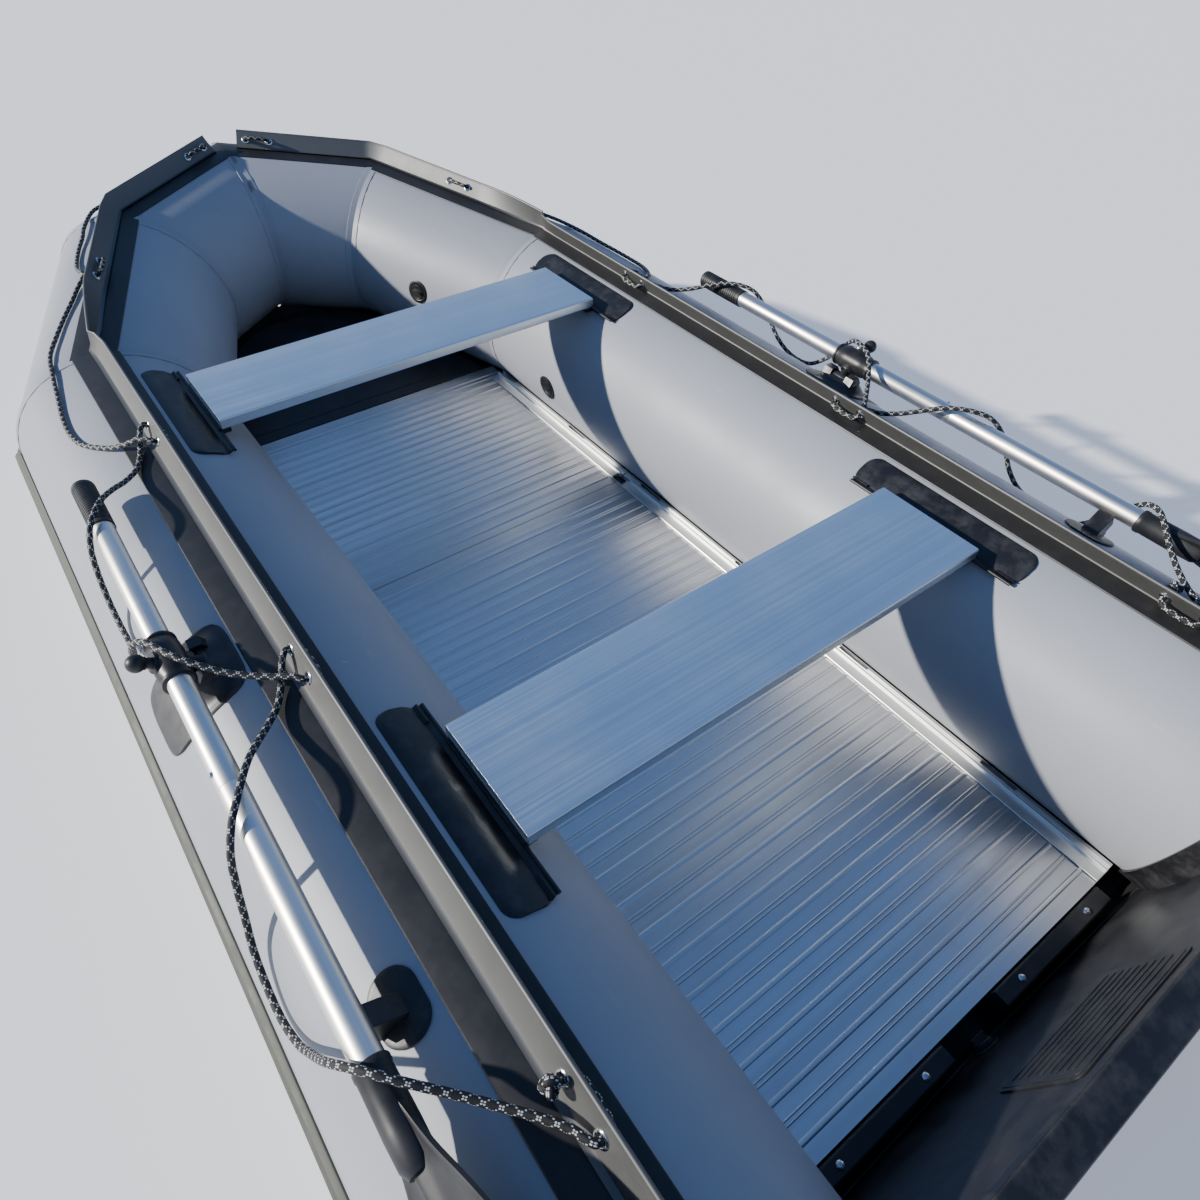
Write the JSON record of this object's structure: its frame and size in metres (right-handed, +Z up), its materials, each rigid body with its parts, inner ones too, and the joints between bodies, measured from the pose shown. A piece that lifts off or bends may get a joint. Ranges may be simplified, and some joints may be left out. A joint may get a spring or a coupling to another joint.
{
  "type": "inflatable dinghy",
  "caption": "Open inflatable dinghy with mitred fabric tubes, ribbed aluminium floor, sliding bench seats, black transom, oars on tilting oarlocks and a lifeline.",
  "frame": {"origin": "middle of the footprint, on the ground that the tubes and the keel stand on", "axes": "+X towards the bow, +Y to port, +Z up"},
  "size_m": [3.3531, 1.5936, 0.57],
  "materials": {
    "tube_fabric": "semi-matte coated fabric",
    "inner_fabric": "coated fabric",
    "bottom_fabric": "black coated fabric",
    "strake_rubber": "ribbed rubber",
    "flange_rubber": "satin black",
    "patch_rubber": "moulded rubber, satin",
    "rope": "braided, with pale flecks",
    "stainless": "polished",
    "floor_alloy": "anodised, ribbed",
    "stringer_alloy": "mill finish",
    "seat_alloy": "satin anodised",
    "oar_alloy": "satin anodised",
    "motor_plate_alloy": "brushed",
    "board": "textured black coating",
    "black_plastic": "moulded plastic",
    "grip_rubber": "ribbed grip"
  },
  "bodies": {
    "hull": {"side_tube_port": "tube_fabric", "side_tube_starboard": "tube_fabric", "bow_shoulders": "tube_fabric", "bow_noses": "tube_fabric", "air_baffles": "inner_fabric", "tail_cones": "tube_fabric", "tail_end_caps": "patch_rubber", "rub_strake": "strake_rubber", "hull_bottom": "bottom_fabric", "keel_tube": "inner_fabric", "keel_strip": "patch_rubber", "rope_flange_port": "flange_rubber", "rope_flange_starboard": "flange_rubber", "eyelets": "stainless", "lifeline_port": "rope", "lifeline_starboard": "rope", "seat_rails_front": "patch_rubber", "seat_rails_rear": "patch_rubber", "bow_board": "board", "floor_panel_front": "floor_alloy", "floor_panel_middle": "floor_alloy", "floor_panel_rear": "floor_alloy", "floor_stringers": "stringer_alloy", "stringer_clips": "black_plastic", "floor_end_block": "board", "transom_board": "board", "transom_trim": "black_plastic", "motor_plate_inner": "black_plastic", "motor_plate_outer": "motor_plate_alloy", "transom_brackets": "patch_rubber", "drain_body": "black_plastic", "valve_bodies": "black_plastic", "oarlock_bases": "patch_rubber", "oar_clips": "patch_rubber", "tow_ring_patch": "patch_rubber"},
    "front_seat": {"front_seat": "seat_alloy", "front_seat_slides": "black_plastic"},
    "rear_seat": {"rear_seat": "seat_alloy", "rear_seat_slides": "black_plastic"},
    "valve_cap_port": {"valve_cap_port": "black_plastic"},
    "valve_cap_starboard": {"valve_cap_starboard": "black_plastic"},
    "valve_cap_bow": {"valve_cap_bow": "black_plastic"},
    "drain_plug": {"drain_plug": "black_plastic"},
    "tow_ring": {"tow_ring": "stainless"},
    "oarlock_port": {"oarlock_swivel_port": "black_plastic"},
    "oar_port": {"oar_upper_port": "oar_alloy", "oar_lower_port": "oar_alloy", "oar_grip_port": "grip_rubber", "oar_collar_port": "black_plastic", "oar_blade_port": "black_plastic"},
    "oar_button_port": {"oar_button_port": "stainless"},
    "knob_port": {"oarlock_knob_port": "black_plastic"},
    "oarlock_starboard": {"oarlock_swivel_starboard": "black_plastic"},
    "oar_starboard": {"oar_upper_starboard": "oar_alloy", "oar_lower_starboard": "oar_alloy", "oar_grip_starboard": "grip_rubber", "oar_collar_starboard": "black_plastic", "oar_blade_starboard": "black_plastic"},
    "oar_button_starboard": {"oar_button_starboard": "stainless"},
    "knob_starboard": {"oarlock_knob_starboard": "black_plastic"}
  },
  "joints": [
    {"name": "front_seat_slide", "type": "slide", "parent": "hull", "child": "front_seat", "axis": [1, 0, 0], "range_m": [-0.07, 0.07]},
    {"name": "rear_seat_slide", "type": "slide", "parent": "hull", "child": "rear_seat", "axis": [1, 0, 0], "range_m": [-0.07, 0.07]},
    {"name": "oarlock_tilt_port", "type": "hinge", "parent": "hull", "child": "oarlock_port", "pos_m": [-0.308, 0.66, 0.425], "axis": [1, 0, 0], "range_deg": [0, 45], "deforming": ["lifeline_port"]},
    {"name": "oar_swing_port", "type": "hinge", "parent": "oarlock_port", "child": "oar_port", "pos_m": [-0.308, 0.66, 0.425], "axis": [0, -0.848, -0.5299], "range_deg": [0, 150], "deforming": ["lifeline_port"]},
    {"name": "oar_button_press_port", "type": "slide", "parent": "oar_port", "child": "oar_button_port", "axis": [0, 0.848, 0.5299], "range_m": [-0.0035, 0], "stiffness_N_per_m": 800, "springref_m": 0.002},
    {"name": "knob_turn_port", "type": "hinge", "parent": "oarlock_port", "child": "knob_port", "pos_m": [-0.308, 0.73548, 0.47216], "axis": [0, 0.848, 0.5299], "continuous": true},
    {"name": "oarlock_tilt_starboard", "type": "hinge", "parent": "hull", "child": "oarlock_starboard", "pos_m": [-0.308, -0.66, 0.425], "axis": [-1, 0, 0], "range_deg": [0, 45], "deforming": ["lifeline_starboard"]},
    {"name": "oar_swing_starboard", "type": "hinge", "parent": "oarlock_starboard", "child": "oar_starboard", "pos_m": [-0.308, -0.66, 0.425], "axis": [0, -0.848, 0.5299], "range_deg": [0, 150], "deforming": ["lifeline_starboard"]},
    {"name": "oar_button_press_starboard", "type": "slide", "parent": "oar_starboard", "child": "oar_button_starboard", "axis": [0, -0.848, 0.5299], "range_m": [-0.0035, 0], "stiffness_N_per_m": 800, "springref_m": 0.002},
    {"name": "knob_turn_starboard", "type": "hinge", "parent": "oarlock_starboard", "child": "knob_starboard", "pos_m": [-0.308, -0.73548, 0.47216], "axis": [0, -0.848, 0.5299], "continuous": true},
    {"name": "valve_cap_turn_port", "type": "hinge", "parent": "hull", "child": "valve_cap_port", "pos_m": [0.338, 0.35309, 0.18508], "axis": [0, -0.9903, -0.1392], "range_deg": [0, 120]},
    {"name": "valve_cap_turn_starboard", "type": "hinge", "parent": "hull", "child": "valve_cap_starboard", "pos_m": [0.338, -0.35309, 0.18508], "axis": [0, 0.9903, -0.1392], "range_deg": [0, 120]},
    {"name": "valve_cap_turn_bow", "type": "hinge", "parent": "hull", "child": "valve_cap_bow", "pos_m": [0.84074, -0.26237, 0.26594], "axis": [-0.3822, 0.9182, 0.104], "range_deg": [0, 120]},
    {"name": "drain_plug_turn", "type": "hinge", "parent": "hull", "child": "drain_plug", "pos_m": [-1.28347, 0, 0.06669], "axis": [0.9781, 0, 0.2079], "range_deg": [0, 360]},
    {"name": "tow_ring_swing", "type": "hinge", "parent": "hull", "child": "tow_ring", "pos_m": [1.614, 0, 0.172], "axis": [0, 1, 0], "range_deg": [-140, 20]}
  ]
}
